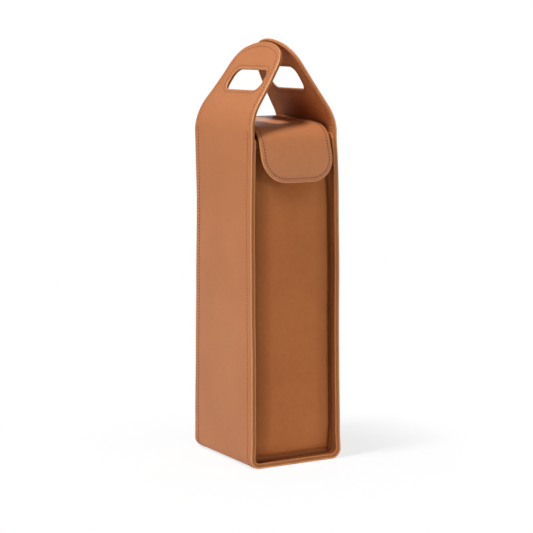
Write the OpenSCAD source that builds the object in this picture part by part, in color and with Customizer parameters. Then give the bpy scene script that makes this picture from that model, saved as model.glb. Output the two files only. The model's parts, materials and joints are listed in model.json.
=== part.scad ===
// Leather carrier for one bottle: a tall case whose side strap runs on into two handles
// Origin at the middle of the base on the floor, front towards -Y, left strap at -X, height along +Z

/* [Body] */
// Width over the two side straps
body_w = 100; // [94:1:120]
// Depth over the turned-out panel edges, which is also the strap's width
body_d = 120; // [104:1:140]
// Height of the bend line where each side strap becomes a handle
strap_top = 332; // [290:1:360]
// Outside radius of the strap's two folds at the base
fold_r = 10; // [8:0.5:14]
// Depth of the panel edges that are turned out in front of each panel
fin_depth = 12; // [9:0.5:15]

/* [Leather] */
// Thickness of the strap's outer leather
strap_leather_t = 1.5; // [1.2:0.1:2]
// Thickness of the stiffening boards inside the strap
strap_board_t = 0.6; // [0.4:0.1:1.2]
// Thickness of the strap's lining leather
strap_lining_t = 1.3; // [1:0.1:1.6]
// Thickness of the panel leather
panel_leather_t = 1.6; // [1.2:0.1:2]
// Thickness of the panel linings
panel_lining_t = 1; // [0.6:0.1:1.4]
// Thickness of the flap's outer leather
flap_leather_t = 1.6; // [1.4:0.1:2]
// Thickness of the flap's lining
flap_lining_t = 1.2; // [0.8:0.1:1.6]

/* [Panels] */
// How far the panels' top edge lies below the handles' bend line
panel_drop = 2; // [1:0.5:6]
// Outside radius where a panel turns out into its edge
panel_bend_r = 5; // [3:0.5:8]
// Length of the slanted cut at the top of each turned-out edge
notch_len = 5; // [2:0.5:8]
// Height of the binding over the front panel's top edge
binding_h = 8; // [5:0.5:14]
// Thickness of the binding leather
binding_t = 1; // [0.6:0.1:1.4]

/* [Base] */
// Thickness of the stiff insert on the floor of the case
insert_t = 2; // [1:0.5:4]

/* [Flap] */
// Width of the flap and its tongue
flap_w = 76; // [60:1:80]
// Height of the flap's top over the panels' top edge, and outside radius of its rear bend
flap_rise = 15; // [10:1:22]
// Outside radius of the bend from the flap down into the tongue
shoulder_r = 22; // [14:1:26]
// Length of the tongue's straight part, from that bend to its lower end
tongue_len = 48; // [40:1:58]
// How far the tongue stands out from upright while the snap is open, in degrees
tongue_splay = 12; // [6:1:16]
// Radius of the tongue's two lower corners
tongue_corner_r = 24; // [12:1:28]

/* [Snap] */
// Diameter of both halves of the magnetic snap
snap_d = 18; // [14:1:22]
// Height of the snap's centre over the tongue's lower end
snap_up = 20; // [16:1:26]
// Thickness of the socket on the front panel
socket_t = 2.2; // [1.8:0.1:3]
// Thickness of the stud under the tongue
stud_t = 2; // [1.4:0.1:3]
// Diameter of the stud's nose
nose_d = 6; // [4:0.5:8]
// Height of the stud's nose
nose_h = 1.2; // [0.8:0.1:1.5]
// Diameter of the post that holds each half to its leather
post_d = 4; // [3:0.5:6]
// Diameter of the washer behind each half
washer_d = 14; // [10:1:16]
// Thickness of that washer
washer_t = 0.5; // [0.3:0.1:0.5]

/* [Handles] */
// Outside radius of the bend from the strap into the handle
handle_bend_r = 45; // [30:1:60]
// Length of the straight part of a handle, from its bend to its tip
handle_len = 77; // [70:1:90]
// Narrowing of a handle on each side, as a share of its length
handle_taper_share = 0.15; // [0.08:0.01:0.2]
// Radius of the handle's crowned top edge
crown_r = 85; // [76:1:110]
// Radius of the handle's two top corners
handle_corner_r = 27; // [16:1:32]
// Distance from the bend's end to the grip hole's lower edge
grip_up = 20; // [14:1:24]
// Height of the grip hole along the handle
grip_h = 25; // [24:1:30]
// Width of the grip hole
grip_w = 70; // [60:1:74]
// Radius of the grip hole's two upper corners
grip_top_r = 10; // [6:1:12]
// Radius of the grip hole's two lower corners
grip_foot_r = 9; // [3:1:10]

/* [Clearances] */
// Glue line between two layers
glue_line = 0.1; // [0.05:0.05:0.2]
// Gap at a bend line between the two bodies that one leather joins
bend_gap = 0.3; // [0.2:0.1:0.6]
// Gap between the two handle tips
tip_gap = 0.8; // [0.4:0.1:2]
// Gap between the two faces of the snap when it is pressed shut
snap_gap = 0.3; // [0.2:0.1:0.6]
// Play of the stud's nose in the socket, each side
nose_play = 0.8; // [0.6:0.1:1.2]
// Play of a washer, post, lining, binding or insert in its place
sheet_play = 0.3; // [0.2:0.1:0.6]
// Distance from a board's edge to the strap's edge
board_margin = 2; // [1:0.5:6]

/* [Hidden] */
$fn = 96;
// How far a cut runs past the face that it opens
overrun = 1;
// How far a bend turns on into its straight part, in degrees, so that the two are one solid
seam_turn = 0.2;

LEATHER = [0.70, 0.43, 0.28];
LEATHER_DARK = [0.60, 0.36, 0.22];
LINING = [0.66, 0.52, 0.40];
BOARD = [0.55, 0.50, 0.44];
METAL = [0.72, 0.70, 0.66];

// The strap is outer leather, board and lining, glued
board_inset = strap_leather_t + glue_line;
lining_inset = board_inset + strap_board_t + glue_line;
strap_t = lining_inset + strap_lining_t;

// A panel's rim lies inside the strap, one glue line from its lining
rim_inset = strap_t + glue_line;
rim_half = body_w / 2 - rim_inset;
rim_r = fold_r - rim_inset;
bend_r = min(panel_bend_r, rim_r);
floor_half = body_w / 2 - fold_r;
panel_top = strap_top - panel_drop;
panel_y = body_d / 2 - fin_depth;
panel_back_y = panel_y - panel_leather_t;
lining_y = panel_back_y - glue_line - panel_lining_t;

// The flap starts at the back panel's top edge
flap_top = panel_top + flap_rise;
flap_front_y = panel_y - flap_rise;
flap_lining_inset = flap_leather_t + glue_line;

// The tongue is upright in front of the snap when pressed shut, and turns out from there about its hinge
tongue_back_y = panel_y + socket_t + snap_gap + stud_t;
tongue_skin_y = tongue_back_y + flap_lining_t + glue_line;
tongue_y = tongue_skin_y + flap_leather_t;
shoulder_y = tongue_y - shoulder_r;
shoulder_z = flap_top - shoulder_r * cos(tongue_splay);
shoulder_reach = shoulder_r * sin(tongue_splay);
tongue_hinge_y = shoulder_y + shoulder_reach;
tongue_end = shoulder_z - tongue_len;
snap_z = tongue_end + snap_up;

// The handles lean in until their inner faces meet over the middle
lean_a = handle_len;
lean_b = strap_t - handle_bend_r;
lean_c = body_w / 2 - handle_bend_r - tip_gap / 2;
lean = asin(lean_c / sqrt(lean_a * lean_a + lean_b * lean_b)) - atan2(lean_b, lean_a);
bend_end_x = body_w / 2 - handle_bend_r * (1 - cos(lean));
bend_end_z = strap_top + handle_bend_r * sin(lean);
bend_len = handle_bend_r * lean * PI / 180;
plate_half = body_d / 2 - handle_taper_share * bend_len;

// The handle's side line meets a corner arc, and the corner arc meets the crown
side_angle = atan(handle_taper_share);
side_dir = [-sin(side_angle), cos(side_angle)];
side_in = [-cos(side_angle), -sin(side_angle)];
crown_centre = [0, handle_len - crown_r];
corner_start = [plate_half, 0] + side_in * handle_corner_r - crown_centre;
corner_along = corner_start * side_dir;
corner_reach = crown_r - handle_corner_r;
side_len = sqrt(corner_along * corner_along - corner_start * corner_start + corner_reach * corner_reach)
    - corner_along;
corner_centre = crown_centre + corner_start + side_dir * side_len;
side_end = [plate_half, 0] + side_dir * side_len;
crown_end = crown_centre + (corner_centre - crown_centre) * crown_r / corner_reach;

// Filled front view of the case at some depth under its outside, with rounded base corners
module case_outline(inset, top) {
    half = body_w / 2 - inset;
    translate([-half, fold_r]) square([2 * half, top - fold_r]);
    translate([-floor_half, inset]) square([2 * floor_half, fold_r - inset]);
    for (side = [-1, 1]) translate([side * floor_half, fold_r]) circle(r = fold_r - inset);
}

// One layer of the strap in front view: down one side, under the base and up the other
module strap_outline(inset, t) {
    difference() {
        case_outline(inset, strap_top - bend_gap / 2);
        case_outline(inset + t, strap_top + overrun);
    }
}

// Stands a front view up and gives it a depth, centred on the body
module upright(depth) {
    rotate([90, 0, 0]) linear_extrude(height = depth, center = true) children();
}

module outer_strap() {
    color(LEATHER) upright(body_d) strap_outline(0, strap_leather_t);
}

module inner_strap() {
    color(LINING) upright(body_d) strap_outline(lining_inset, strap_lining_t);
}

module side_board() {
    translate([body_w / 2 - board_inset - strap_board_t, board_margin - body_d / 2, fold_r])
        cube([strap_board_t, body_d - 2 * board_margin, strap_top - board_margin - fold_r]);
}

module left_side_board() {
    color(BOARD) mirror([1, 0, 0]) side_board();
}

module right_side_board() {
    color(BOARD) side_board();
}

module base_board() {
    color(BOARD) translate([-floor_half, board_margin - body_d / 2, board_inset])
        cube([2 * floor_half, body_d - 2 * board_margin, strap_board_t]);
}

module base_insert() {
    half_d = lining_y - sheet_play;
    color(BOARD) translate([-floor_half, -half_d, strap_t + glue_line])
        cube([2 * floor_half, 2 * half_d, insert_t]);
}

// Section through a panel's turned-out edge: x runs in from the rim, y back from the free edge
module edge_section() {
    back = fin_depth + panel_leather_t;
    square([panel_leather_t, back - bend_r]);
    translate([bend_r, fin_depth]) square([rim_r - bend_r, panel_leather_t]);
    translate([bend_r, back - bend_r]) intersection() {
        difference() {
            circle(r = bend_r);
            circle(r = bend_r - panel_leather_t);
        }
        translate([-bend_r, 0]) square(bend_r);
    }
}

// A panel is a tray: its edges are turned out along both sides and the base
module panel() {
    difference() {
        union() {
            translate([-floor_half, -panel_y, fold_r])
                cube([2 * floor_half, panel_leather_t, panel_top - fold_r]);
            translate([0, -body_d / 2, rim_inset]) rotate([0, -90, 0])
                linear_extrude(height = 2 * floor_half, center = true) edge_section();
            for (side = [0, 1]) mirror([side, 0, 0]) {
                translate([rim_half, -body_d / 2, fold_r])
                    linear_extrude(height = panel_top - fold_r) mirror([1, 0]) edge_section();
                translate([floor_half, -body_d / 2, fold_r]) rotate([-90, 0, 0])
                    rotate_extrude(angle = 90) translate([rim_r, 0]) mirror([1, 0]) edge_section();
            }
        }
        edge_notch();
    }
}

// Slanted cut that takes the front corner off the top of both turned-out edges
module edge_notch() {
    translate([0, -body_d / 2, panel_top]) rotate([90, 0, 90])
        linear_extrude(height = body_w, center = true)
            polygon([[-overrun, -notch_len - overrun], [notch_len + overrun, overrun], [-overrun, overrun]]);
}

module post_hole(y, length) {
    translate([0, -y, snap_z]) rotate([90, 0, 0]) cylinder(d = post_d + 2 * sheet_play, h = length, center = true);
}

module front_panel() {
    color(LEATHER) difference() {
        panel();
        post_hole(panel_y, 2 * (panel_leather_t + overrun));
    }
}

module back_panel() {
    color(LEATHER) rotate([0, 0, 180]) panel();
}

// A lining covers its panel's inner face, from the base to the top edge
module lining_sheet() {
    translate([0, -lining_y - panel_lining_t / 2, 0]) upright(panel_lining_t) case_outline(rim_inset, panel_top);
}

module front_lining() {
    color(LINING) difference() {
        lining_sheet();
        translate([0, -panel_back_y, snap_z]) rotate([-90, 0, 0])
            cylinder(d = washer_d + 2 * sheet_play, h = glue_line + washer_t + glue_line);
    }
}

module back_lining() {
    color(LINING) rotate([0, 0, 180]) lining_sheet();
}

// The binding is folded over the panel and its lining
module front_top_binding() {
    half = rim_half - bend_r - sheet_play;
    slot_y = panel_y + glue_line;
    slot_d = slot_y - lining_y + glue_line;
    color(LEATHER_DARK) difference() {
        translate([-half, -slot_y - binding_t, panel_top - binding_h])
            cube([2 * half, slot_d + 2 * binding_t, binding_h + glue_line + binding_t]);
        translate([-half - overrun, -slot_y, panel_top - binding_h - overrun])
            cube([2 * (half + overrun), slot_d, binding_h + overrun + glue_line]);
    }
}

// The socket is a cup with a hole for the stud's nose, on a post through the panel
module snap_socket() {
    hole_d = nose_d + 2 * nose_play;
    color(METAL) translate([0, -panel_y, snap_z]) rotate([90, 0, 0]) difference() {
        union() {
            cylinder(d = snap_d, h = socket_t);
            translate([0, 0, -panel_leather_t]) cylinder(d = post_d, h = panel_leather_t + overrun / 2);
        }
        translate([0, 0, socket_t - nose_h - snap_gap]) cylinder(d = hole_d, h = nose_h + snap_gap + overrun);
    }
}

module washer() {
    difference() {
        cylinder(d = washer_d, h = washer_t);
        translate([0, 0, -overrun]) cylinder(d = post_d - 2 * sheet_play, h = washer_t + 2 * overrun);
    }
}

module socket_washer() {
    color(METAL) translate([0, -panel_back_y + glue_line, snap_z]) rotate([-90, 0, 0]) washer();
}

// Side view of one flap layer: up from the back panel's top edge, over a bend and forward
module flap_section(inset, t) {
    r = flap_rise - inset;
    translate([flap_front_y, panel_top]) intersection() {
        difference() {
            circle(r = r);
            circle(r = r - t);
        }
        translate([0, bend_gap / 2]) square(flap_rise);
    }
    translate([bend_gap / 2 - tongue_hinge_y, flap_top - inset - t])
        square([flap_front_y + tongue_hinge_y - bend_gap / 2, t]);
}

// Turns a side view drawn as depth and height into a solid across the carrier
module across(width) {
    rotate([90, 0, 90]) linear_extrude(height = width, center = true) children();
}

module flap_outer() {
    color(LEATHER) across(flap_w) flap_section(0, flap_leather_t);
}

module flap_lining() {
    color(LINING) across(flap_w) flap_section(flap_lining_inset, flap_lining_t);
}

// Turns what is drawn pressed shut out to its place at rest
module turned_out() {
    translate([0, -tongue_hinge_y, flap_top]) rotate([-tongue_splay, 0, 0])
        translate([0, tongue_hinge_y, -flap_top]) children();
}

// Side view of the tongue pressed shut, filled behind: the shoulder and the straight part below it
module tongue_side(inset, length) {
    r = shoulder_r - inset;
    circle(r = r);
    translate([-r, -length]) square([r, length]);
}

// Outline of the tongue from the front, with a round end
module tongue_outline() {
    half = flap_w / 2;
    flat_half = half - tongue_corner_r;
    corner_z = tongue_corner_r - tongue_len;
    translate([-half, corner_z]) square([2 * half, shoulder_r + overrun - corner_z]);
    translate([-flat_half, -tongue_len]) square([2 * flat_half, tongue_corner_r]);
    for (side = [-1, 1]) translate([side * flat_half, corner_z]) circle(r = tongue_corner_r);
}

// One layer of the tongue, cut upright at its hinge so that it clears the flap when pressed shut
module tongue_layer(inset, t) {
    reach = shoulder_r + overrun;
    length = tongue_len + overrun;
    turned_out() translate([0, -shoulder_y, shoulder_z]) intersection() {
        across(flap_w + 2 * overrun) difference() {
            tongue_side(inset, length);
            tongue_side(inset + t, length + overrun);
            translate([-shoulder_reach - bend_gap / 2, -length]) square([2 * reach, length + reach]);
        }
        upright(2 * reach) tongue_outline();
    }
}

module tongue_outer() {
    color(LEATHER) difference() {
        tongue_layer(0, flap_leather_t);
        turned_out() translate([0, -tongue_skin_y, snap_z]) rotate([90, 0, 0])
            cylinder(d = washer_d + 2 * sheet_play, h = washer_t + glue_line);
    }
}

module tongue_lining() {
    color(LINING) difference() {
        tongue_layer(flap_lining_inset, flap_lining_t);
        turned_out() post_hole(tongue_back_y, 2 * (flap_lining_t + overrun));
    }
}

// The stud has a nose that sits in the socket, and a post through the tongue's lining
module snap_stud() {
    color(METAL) turned_out() translate([0, -tongue_back_y, snap_z]) rotate([-90, 0, 0]) {
        cylinder(d = snap_d, h = stud_t);
        translate([0, 0, stud_t]) cylinder(d = nose_d, h = nose_h);
        translate([0, 0, -flap_lining_t]) cylinder(d = post_d, h = flap_lining_t);
    }
}

module stud_washer() {
    color(METAL) turned_out() translate([0, -tongue_skin_y + glue_line, snap_z]) rotate([90, 0, 0]) washer();
}

// Outline of a handle's straight part: x across the handle, y from its bend to its tip
module handle_outline() {
    difference() {
        union() {
            polygon([
                [-plate_half, 0], [plate_half, 0], side_end, crown_end,
                [-crown_end[0], crown_end[1]], [-side_end[0], side_end[1]]
            ]);
            for (side = [0, 1]) mirror([side, 0]) translate(corner_centre) circle(r = handle_corner_r);
            intersection() {
                translate(crown_centre) circle(r = crown_r);
                translate([-crown_end[0], crown_end[1]]) square([2 * crown_end[0], crown_r]);
            }
        }
        grip_hole();
    }
}

// The grip hole has straight lower and upper edges and round ends
module grip_hole() {
    half = grip_w / 2;
    translate([0, grip_up]) {
        translate([-half, grip_foot_r]) square([grip_w, grip_h - grip_foot_r - grip_top_r]);
        translate([grip_foot_r - half, 0]) square([grip_w - 2 * grip_foot_r, grip_foot_r]);
        translate([grip_top_r - half, grip_h - grip_top_r])
            square([grip_w - 2 * grip_top_r, grip_top_r]);
        for (side = [-1, 1]) {
            translate([side * (half - grip_foot_r), grip_foot_r]) circle(r = grip_foot_r);
            translate([side * (half - grip_top_r), grip_h - grip_top_r]) circle(r = grip_top_r);
        }
    }
}

// Side view of the bend: full width at the strap, as wide as the plate where the plate starts
module bend_face() {
    rise = bend_end_z - strap_top;
    polygon([
        [body_d / 2, bend_gap / 2], [plate_half, rise], [plate_half, rise + overrun],
        [-plate_half, rise + overrun], [-plate_half, rise], [-body_d / 2, bend_gap / 2]
    ]);
}

// One layer of the right handle: the bend, narrowing towards the plate, then the plate
module handle_layer(inset, t) {
    r = handle_bend_r - inset;
    translate([body_w / 2 - handle_bend_r, 0, strap_top]) rotate([90, 0, 0]) intersection() {
        rotate_extrude(angle = lean + seam_turn) translate([r - t, -body_d / 2]) square([t, body_d]);
        rotate([0, 90, 0]) linear_extrude(height = handle_bend_r + overrun) bend_face();
    }
    translate([bend_end_x, 0, bend_end_z]) rotate([0, -lean, 0]) rotate([90, 0, -90])
        translate([0, 0, inset]) linear_extrude(height = t) handle_outline();
}

module right_handle_outer() {
    color(LEATHER) handle_layer(0, strap_leather_t);
}

module right_handle_core() {
    color(BOARD) handle_layer(board_inset, strap_board_t);
}

module right_handle_lining() {
    color(LINING) handle_layer(lining_inset, strap_lining_t);
}

module left_handle_outer() {
    color(LEATHER) mirror([1, 0, 0]) handle_layer(0, strap_leather_t);
}

module left_handle_core() {
    color(BOARD) mirror([1, 0, 0]) handle_layer(board_inset, strap_board_t);
}

module left_handle_lining() {
    color(LINING) mirror([1, 0, 0]) handle_layer(lining_inset, strap_lining_t);
}

outer_strap();
inner_strap();
left_side_board();
right_side_board();
base_board();
base_insert();
front_panel();
back_panel();
front_lining();
back_lining();
front_top_binding();
snap_socket();
socket_washer();
flap_outer();
flap_lining();
tongue_outer();
tongue_lining();
snap_stud();
stud_washer();
left_handle_outer();
left_handle_core();
left_handle_lining();
right_handle_outer();
right_handle_core();
right_handle_lining();
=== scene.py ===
import json
import math

import bpy
import numpy as np
from mathutils import Matrix, Vector


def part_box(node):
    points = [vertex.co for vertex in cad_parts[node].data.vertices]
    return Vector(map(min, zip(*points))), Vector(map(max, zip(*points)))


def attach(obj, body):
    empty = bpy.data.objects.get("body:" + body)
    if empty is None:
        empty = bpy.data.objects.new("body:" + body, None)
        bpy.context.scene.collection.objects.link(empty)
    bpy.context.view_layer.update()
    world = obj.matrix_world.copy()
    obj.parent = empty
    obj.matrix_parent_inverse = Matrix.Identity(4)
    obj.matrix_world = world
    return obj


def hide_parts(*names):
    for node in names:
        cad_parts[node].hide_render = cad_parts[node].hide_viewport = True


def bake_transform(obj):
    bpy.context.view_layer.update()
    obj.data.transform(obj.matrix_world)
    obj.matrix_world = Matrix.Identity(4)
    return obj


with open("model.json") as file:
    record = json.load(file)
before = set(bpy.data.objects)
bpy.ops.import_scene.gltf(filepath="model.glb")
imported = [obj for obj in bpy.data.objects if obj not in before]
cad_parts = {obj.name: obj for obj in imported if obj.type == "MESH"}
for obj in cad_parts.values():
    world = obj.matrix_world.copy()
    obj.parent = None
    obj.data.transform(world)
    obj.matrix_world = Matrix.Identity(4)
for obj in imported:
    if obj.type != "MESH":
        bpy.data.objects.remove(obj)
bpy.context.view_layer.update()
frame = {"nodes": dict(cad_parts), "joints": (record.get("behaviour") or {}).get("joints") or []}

# Shapes are worked out in millimetres and made smaller when they become meshes
mm = 0.001
hair = 1e-6         # slack when places are compared
touching = 0.02     # places closer than this are one


def boxMm(node):
    # The two corners of a CAD node's box
    low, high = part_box(node)
    return np.array(low) / mm, np.array(high) / mm


strapLow, strapHigh = boxMm("outer_strap")
panelLow, panelHigh = boxMm("front_panel")
hinge = {joint["name"]: np.array(joint["pos_m"]) / mm for joint in frame["joints"]}
halfDepth = strapHigh[1]
halfWidth = strapHigh[0]
strapTop = hinge["right_handle_spread"][2]
panelTop = panelHigh[2]
print("frame: strap", 2 * halfWidth, "x", 2 * halfDepth, "mm, bend line at", strapTop)


def pathTable(start, heading, stretches, step=0.25):
    # The heading changes evenly along each (length, turn) stretch, and places are the running
    # sum of its cosine and sine
    lengths, turns = np.array(stretches, float).T
    knots, headings = running(lengths), heading + running(turns)
    along = np.linspace(0, knots[-1], int(round(knots[-1] / step)) + 1)
    angle = np.radians(np.interp(along, knots, headings))
    middle = (angle[1:] + angle[:-1]) / 2
    gap = np.diff(along)
    first = start[0] + running(np.cos(middle) * gap)
    second = start[1] + running(np.sin(middle) * gap)
    return {"along": along, "first": first, "second": second, "angle": angle, "knots": knots}


def onPath(path, along):
    # Place on the path, and the unit vector to the right of travel
    angle = np.interp(along, path["along"], path["angle"])
    first = np.interp(along, path["along"], path["first"])
    second = np.interp(along, path["along"], path["second"])
    return first, second, np.sin(angle), -np.cos(angle)


def evenly(start, stop, gap):
    # Values from start to stop, no more than gap apart
    return np.linspace(start, stop, max(1, int(math.ceil(abs(stop - start) / gap - hair))) + 1)


def joined(*pieces):
    # Rising values without repeats
    values = np.sort(np.concatenate(pieces))
    return values[np.concatenate([[True], np.diff(values) > touching])]


def spaced(start, *stretches):
    # Values from start on, evenly over each (stop, gap) stretch
    pieces = []
    for stop, gap in stretches:
        pieces.append(evenly(start, stop, gap))
        start = stop
    return joined(*pieces)


def between(values, start, stop):
    # Those values that lie from start to stop
    return values[(values >= start - hair) & (values <= stop + hair)]


def resample(line, shares):
    # Points at these shares of a polyline's length, or this many points evenly along it
    length = running(np.linalg.norm(np.diff(line, axis=0), axis=1))
    wanted = (np.linspace(0, 1, shares) if isinstance(shares, int) else shares) * length[-1]
    return np.stack([np.interp(wanted, length, line[:, k]) for k in range(line.shape[1])], -1)


def arc(centre, radius, start, stop, count):
    # Circle points from one angle in degrees to another
    angle = np.radians(np.linspace(start, stop, count))
    return stacked(centre[0] + radius * np.cos(angle), centre[1] + radius * np.sin(angle))


def mirrored(line):
    # The line's mirror image about the middle, run backwards
    return (line * [-1, 1])[::-1]


def smooth(value, low, high):
    # 0 below low, 1 above high, 3t^2 - 2t^3 between
    t = np.clip((value - low) / (high - low), 0, 1)
    return t * t * (3 - 2 * t)


def stacked(*parts):
    # Points, directions or corner numbers from their parts, one for each axis or corner
    return np.stack(np.broadcast_arrays(*parts), -1)


def running(steps):
    # The sum so far after each step, from 0
    return np.concatenate([[0], np.cumsum(steps)])


def unit(vectors):
    # Each vector divided by its length
    return vectors / np.maximum(np.linalg.norm(vectors, axis=-1, keepdims=True), 1e-9)


def gridQuads(rows, columns, closed=False):
    # Corner numbers of every cell of a grid that is stored row by row
    across = columns if closed else columns - 1
    r, c = np.meshgrid(np.arange(rows - 1), np.arange(across), indexing="ij")
    n = (c + 1) % columns
    low, high = r * columns, (r + 1) * columns
    return stacked(low + c, low + n, high + n, high + c).reshape(-1, 4)


def grid(place, first, second):
    # One grid of a skin: its points, its cells and its place in the flat
    return place, gridQuads(*first.shape), stacked(first, second)


def addObject(name, data):
    # Object at the origin that holds a mesh, a lamp or a camera
    obj = bpy.data.objects.new(name, data)
    bpy.context.scene.collection.objects.link(obj)
    return obj


settling = {
    # How far each side stands to the right of its place on the frame, by height, at its two edges
    "leftFront": [(0, -2.0), (70, -2.0), (150, -1.8), (270, -1.9), (300, -1.0), (332, 0.3)],
    "leftBack": [(0, -2.8), (30, -2.5), (68, -2.3), (99, -1.3), (147, -0.3), (178, 0.4), (210, 1.2),
                 (272, 1.7), (304, 1.0), (332, 0.6)],
    "rightFront": [(0, 2.0), (60, 2.0), (100, 1.4), (210, 1.0), (275, 0.6), (306, 0), (330, -2.0)],
    "rightBack": [(0, 2.0), (100, 1.2), (200, 0.5), (300, 0.5), (332, 0.9)],
    "pressed": (0.9, 0.2),  # the sewn edges are pressed together, front and back
    "pressReach": 9.0,
    "groove": 0.35,         # and drawn in along the seam, this far from the edge
    "seamAt": 6.2,
    "seamReach": 1.6,
    "fill": 1.2,            # swelling of the strap between its seams
    "bulge": {"body": 7.6, "flap": 4.0},    # the panels' swelling, front and back
    "bulgeHalf": 44.7,
    "steep": (0.45, 0.78),  # share of it that rises at once beside the turned edge, left and right
    "dip": 5.5,             # of the front panel's top edge, under the flap
    "edgeWave": 0.22,       # of the edges' waves, each with its lengths along z and across
    "longWave": (31.0, 40.0),
    "shortWave": (13.7, 50.0),
    "span": 92.6,           # width over which a panel passes from the left shift to the right one
    "baseSpan": 80.0,       # and the strap under the base
    "baseTop": 30.0,
}
# Stretches in millimetres over which the settling sets in or dies away
fades = {
    "flapBack": (10, 40), "flapFoot": (panelTop, panelTop + 15),
    "seamFoot": (8, 30), "seamTop": (strapTop - 8, strapTop + 12), "seamSide": (40, 44.5),
    "fillEdge": (7, 26), "fillFoot": (20, 60), "fillTop": (230, 320),
    "swellEdge": (0.2, 6.5), "swellMiddle": (3, 24), "swellBase": (3, 16), "swellFoot": (8, 40),
    "swellTop": (250, 325), "swellIn": (30, 44), "swellOut": (49, 58), "snap": (11, 34),
    "waveFoot": (20, 60), "waveTop": (strapTop - 20, strapTop + 20),
    "dipFoot": (300, panelTop - 2), "dipSide": (40.5, 45),
}
# Heights at which each edge's lean is kept, and the bell that rounds it
lean = {"low": -60.0, "high": 400.0, "step": 2.0, "reach": 12, "spread": 4.0}
leanHeights = np.arange(lean["low"], lean["high"], lean["step"])
leanPad = lean["reach"] * lean["step"]
leanBell = np.exp(-0.5 * (np.arange(-lean["reach"], lean["reach"] + 1) / lean["spread"]) ** 2)


def leanTable(places):
    # Straight lines between the given places, then each value the bell-weighted mean of its
    # neighbours, so that the lean has no corners
    heights, shifts = np.array(places).T
    wider = np.arange(lean["low"] - leanPad, lean["high"] + leanPad, lean["step"])
    padded = np.interp(wider, heights, shifts)
    return np.convolve(padded, leanBell / leanBell.sum(), "valid")[:len(leanHeights)]


leans = {name: leanTable(settling[name]) for name in ("leftFront", "leftBack", "rightFront", "rightBack")}
snapMiddle = (boxMm("snap_socket")[0] + boxMm("snap_socket")[1]) / 2


def settle(points, kind="body"):
    # Leather at its place on the frame moved to where it has sagged and warped. The shift along x
    # is read from the four edges' tables and shared out by depth and side. The panels swell by a
    # product of smooth steps, but not round the snap, the sewn edges bend inwards as a square,
    # the seam is a bell-shaped groove, and two sines make the edges a little wavy
    def on(value, name):
        # 0 before the named stretch, 1 after it
        return smooth(value, *fades[name])

    def off(value, name):
        # The other way
        return 1 - on(value, name)

    x, y, z = np.moveaxis(points, -1, 0)
    aside, away = np.abs(x), np.abs(y)
    front = np.clip(0.5 - y / (2 * halfDepth), 0, 1)
    at = {name: np.interp(z, leanHeights, table) for name, table in leans.items()}
    left = at["leftFront"] * front + at["leftBack"] * (1 - front)
    right = at["rightFront"] * front + at["rightBack"] * (1 - front)
    if kind in ("left", "right"):
        own, other = (left, right) if kind == "left" else (right, left)
        mine = np.where(z < settling["baseTop"], np.clip(0.5 + aside / settling["baseSpan"], 0, 1), 1)
        shift = own * mine + other * (1 - mine)
    else:
        t = np.clip(0.5 + x / settling["span"], 0, 1)
        shift = left * (1 - t) + right * t
    if kind == "flap":
        shift = shift * on(y, "flapBack") * off(z, "flapFoot")
    low = on(z, "seamFoot") * off(z, "seamTop") * on(aside, "seamSide")
    inset = halfDepth - away
    drawn = (np.where(y < 0, *settling["pressed"]) * np.clip(1 - inset / settling["pressReach"], 0, 1) ** 2
             + settling["groove"] * np.exp(-((inset - settling["seamAt"]) / settling["seamReach"]) ** 2)
             - settling["fill"] * on(inset, "fillEdge") * on(z, "fillFoot") * off(z, "fillTop"))
    press = -np.sign(x) * drawn * low
    fromFin = settling["bulgeHalf"] - aside
    steep = np.where(x < 0, *settling["steep"])
    swell = ((steep * on(fromFin, "swellEdge") + (1 - steep) * on(fromFin, "swellMiddle"))
             * (0.5 * on(z, "swellBase") + 0.5 * on(z, "swellFoot")) * off(z, "swellTop")
             * on(np.hypot(x, z - snapMiddle[2]), "snap") * on(away, "swellIn") * off(away, "swellOut"))
    if kind == "flap":
        swell = swell * (y > 0)
    (tall, wide), (short, deep) = settling["longWave"], settling["shortWave"]
    wave = settling["edgeWave"] * (np.sin(z / tall + x / wide) + 0.6 * np.sin(z / short + 1.3 + y / deep))
    wave = wave * on(z, "waveFoot") * off(z, "waveTop") * np.clip(aside / halfWidth, 0, 1)
    high = settling["bulge"].get(kind, 0)
    dip = settling["dip"] * on(z, "dipFoot") * off(aside, "dipSide") * (y < -40) * (kind == "body")
    return stacked(x + shift + press + wave, y + high * np.sign(y) * swell, z - dip)


def skin(parts, facing):
    # Several grids, each (points, quads, flat place), as one surface whose points are shared where
    # they round to the same place; each grid is turned so that its faces look where facing points
    points, quads, flat, base = [], [], [], 0
    for place, faces, plan in parts:
        place = place.reshape(-1, 3)
        if (vertexNormals(place, faces) * facing(place)).sum() < 0:
            faces = faces[:, ::-1]
        points.append(place)
        flat.append(plan.reshape(-1, plan.shape[-1]))
        quads.append(faces + base)
        base += len(place)
    points, flat, quads = np.concatenate(points), np.concatenate(flat), np.concatenate(quads)
    weld = 0.004
    keys = np.round(points / weld).astype(np.int64)
    _, first, index = np.unique(keys, axis=0, return_index=True, return_inverse=True)
    return points[first], index.reshape(-1)[quads], flat[first]


def faceList(quads):
    # Quads whose neighbouring corners fell together become triangles, thinner ones go. Also
    # tells which quad each face was
    same = quads == np.roll(quads, -1, axis=1)
    whole, single = (np.flatnonzero(same.sum(1) == count) for count in (0, 1))
    corners = (same[single].argmax(1)[:, None] + 1 + np.arange(3)) % 4
    thin = np.take_along_axis(quads[single], corners, axis=1)
    return quads[whole].tolist() + thin.tolist(), np.concatenate([whole, single])


def vertexNormals(points, quads):
    # Mean of the touching faces' normals, weighted by their area
    a, b, c, d = (points[quads[:, k]] for k in range(4))
    cross = np.cross(c - a, d - b)
    total = np.zeros_like(points)
    for k in range(4):
        np.add.at(total, quads[:, k], cross)
    return unit(total)


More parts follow.
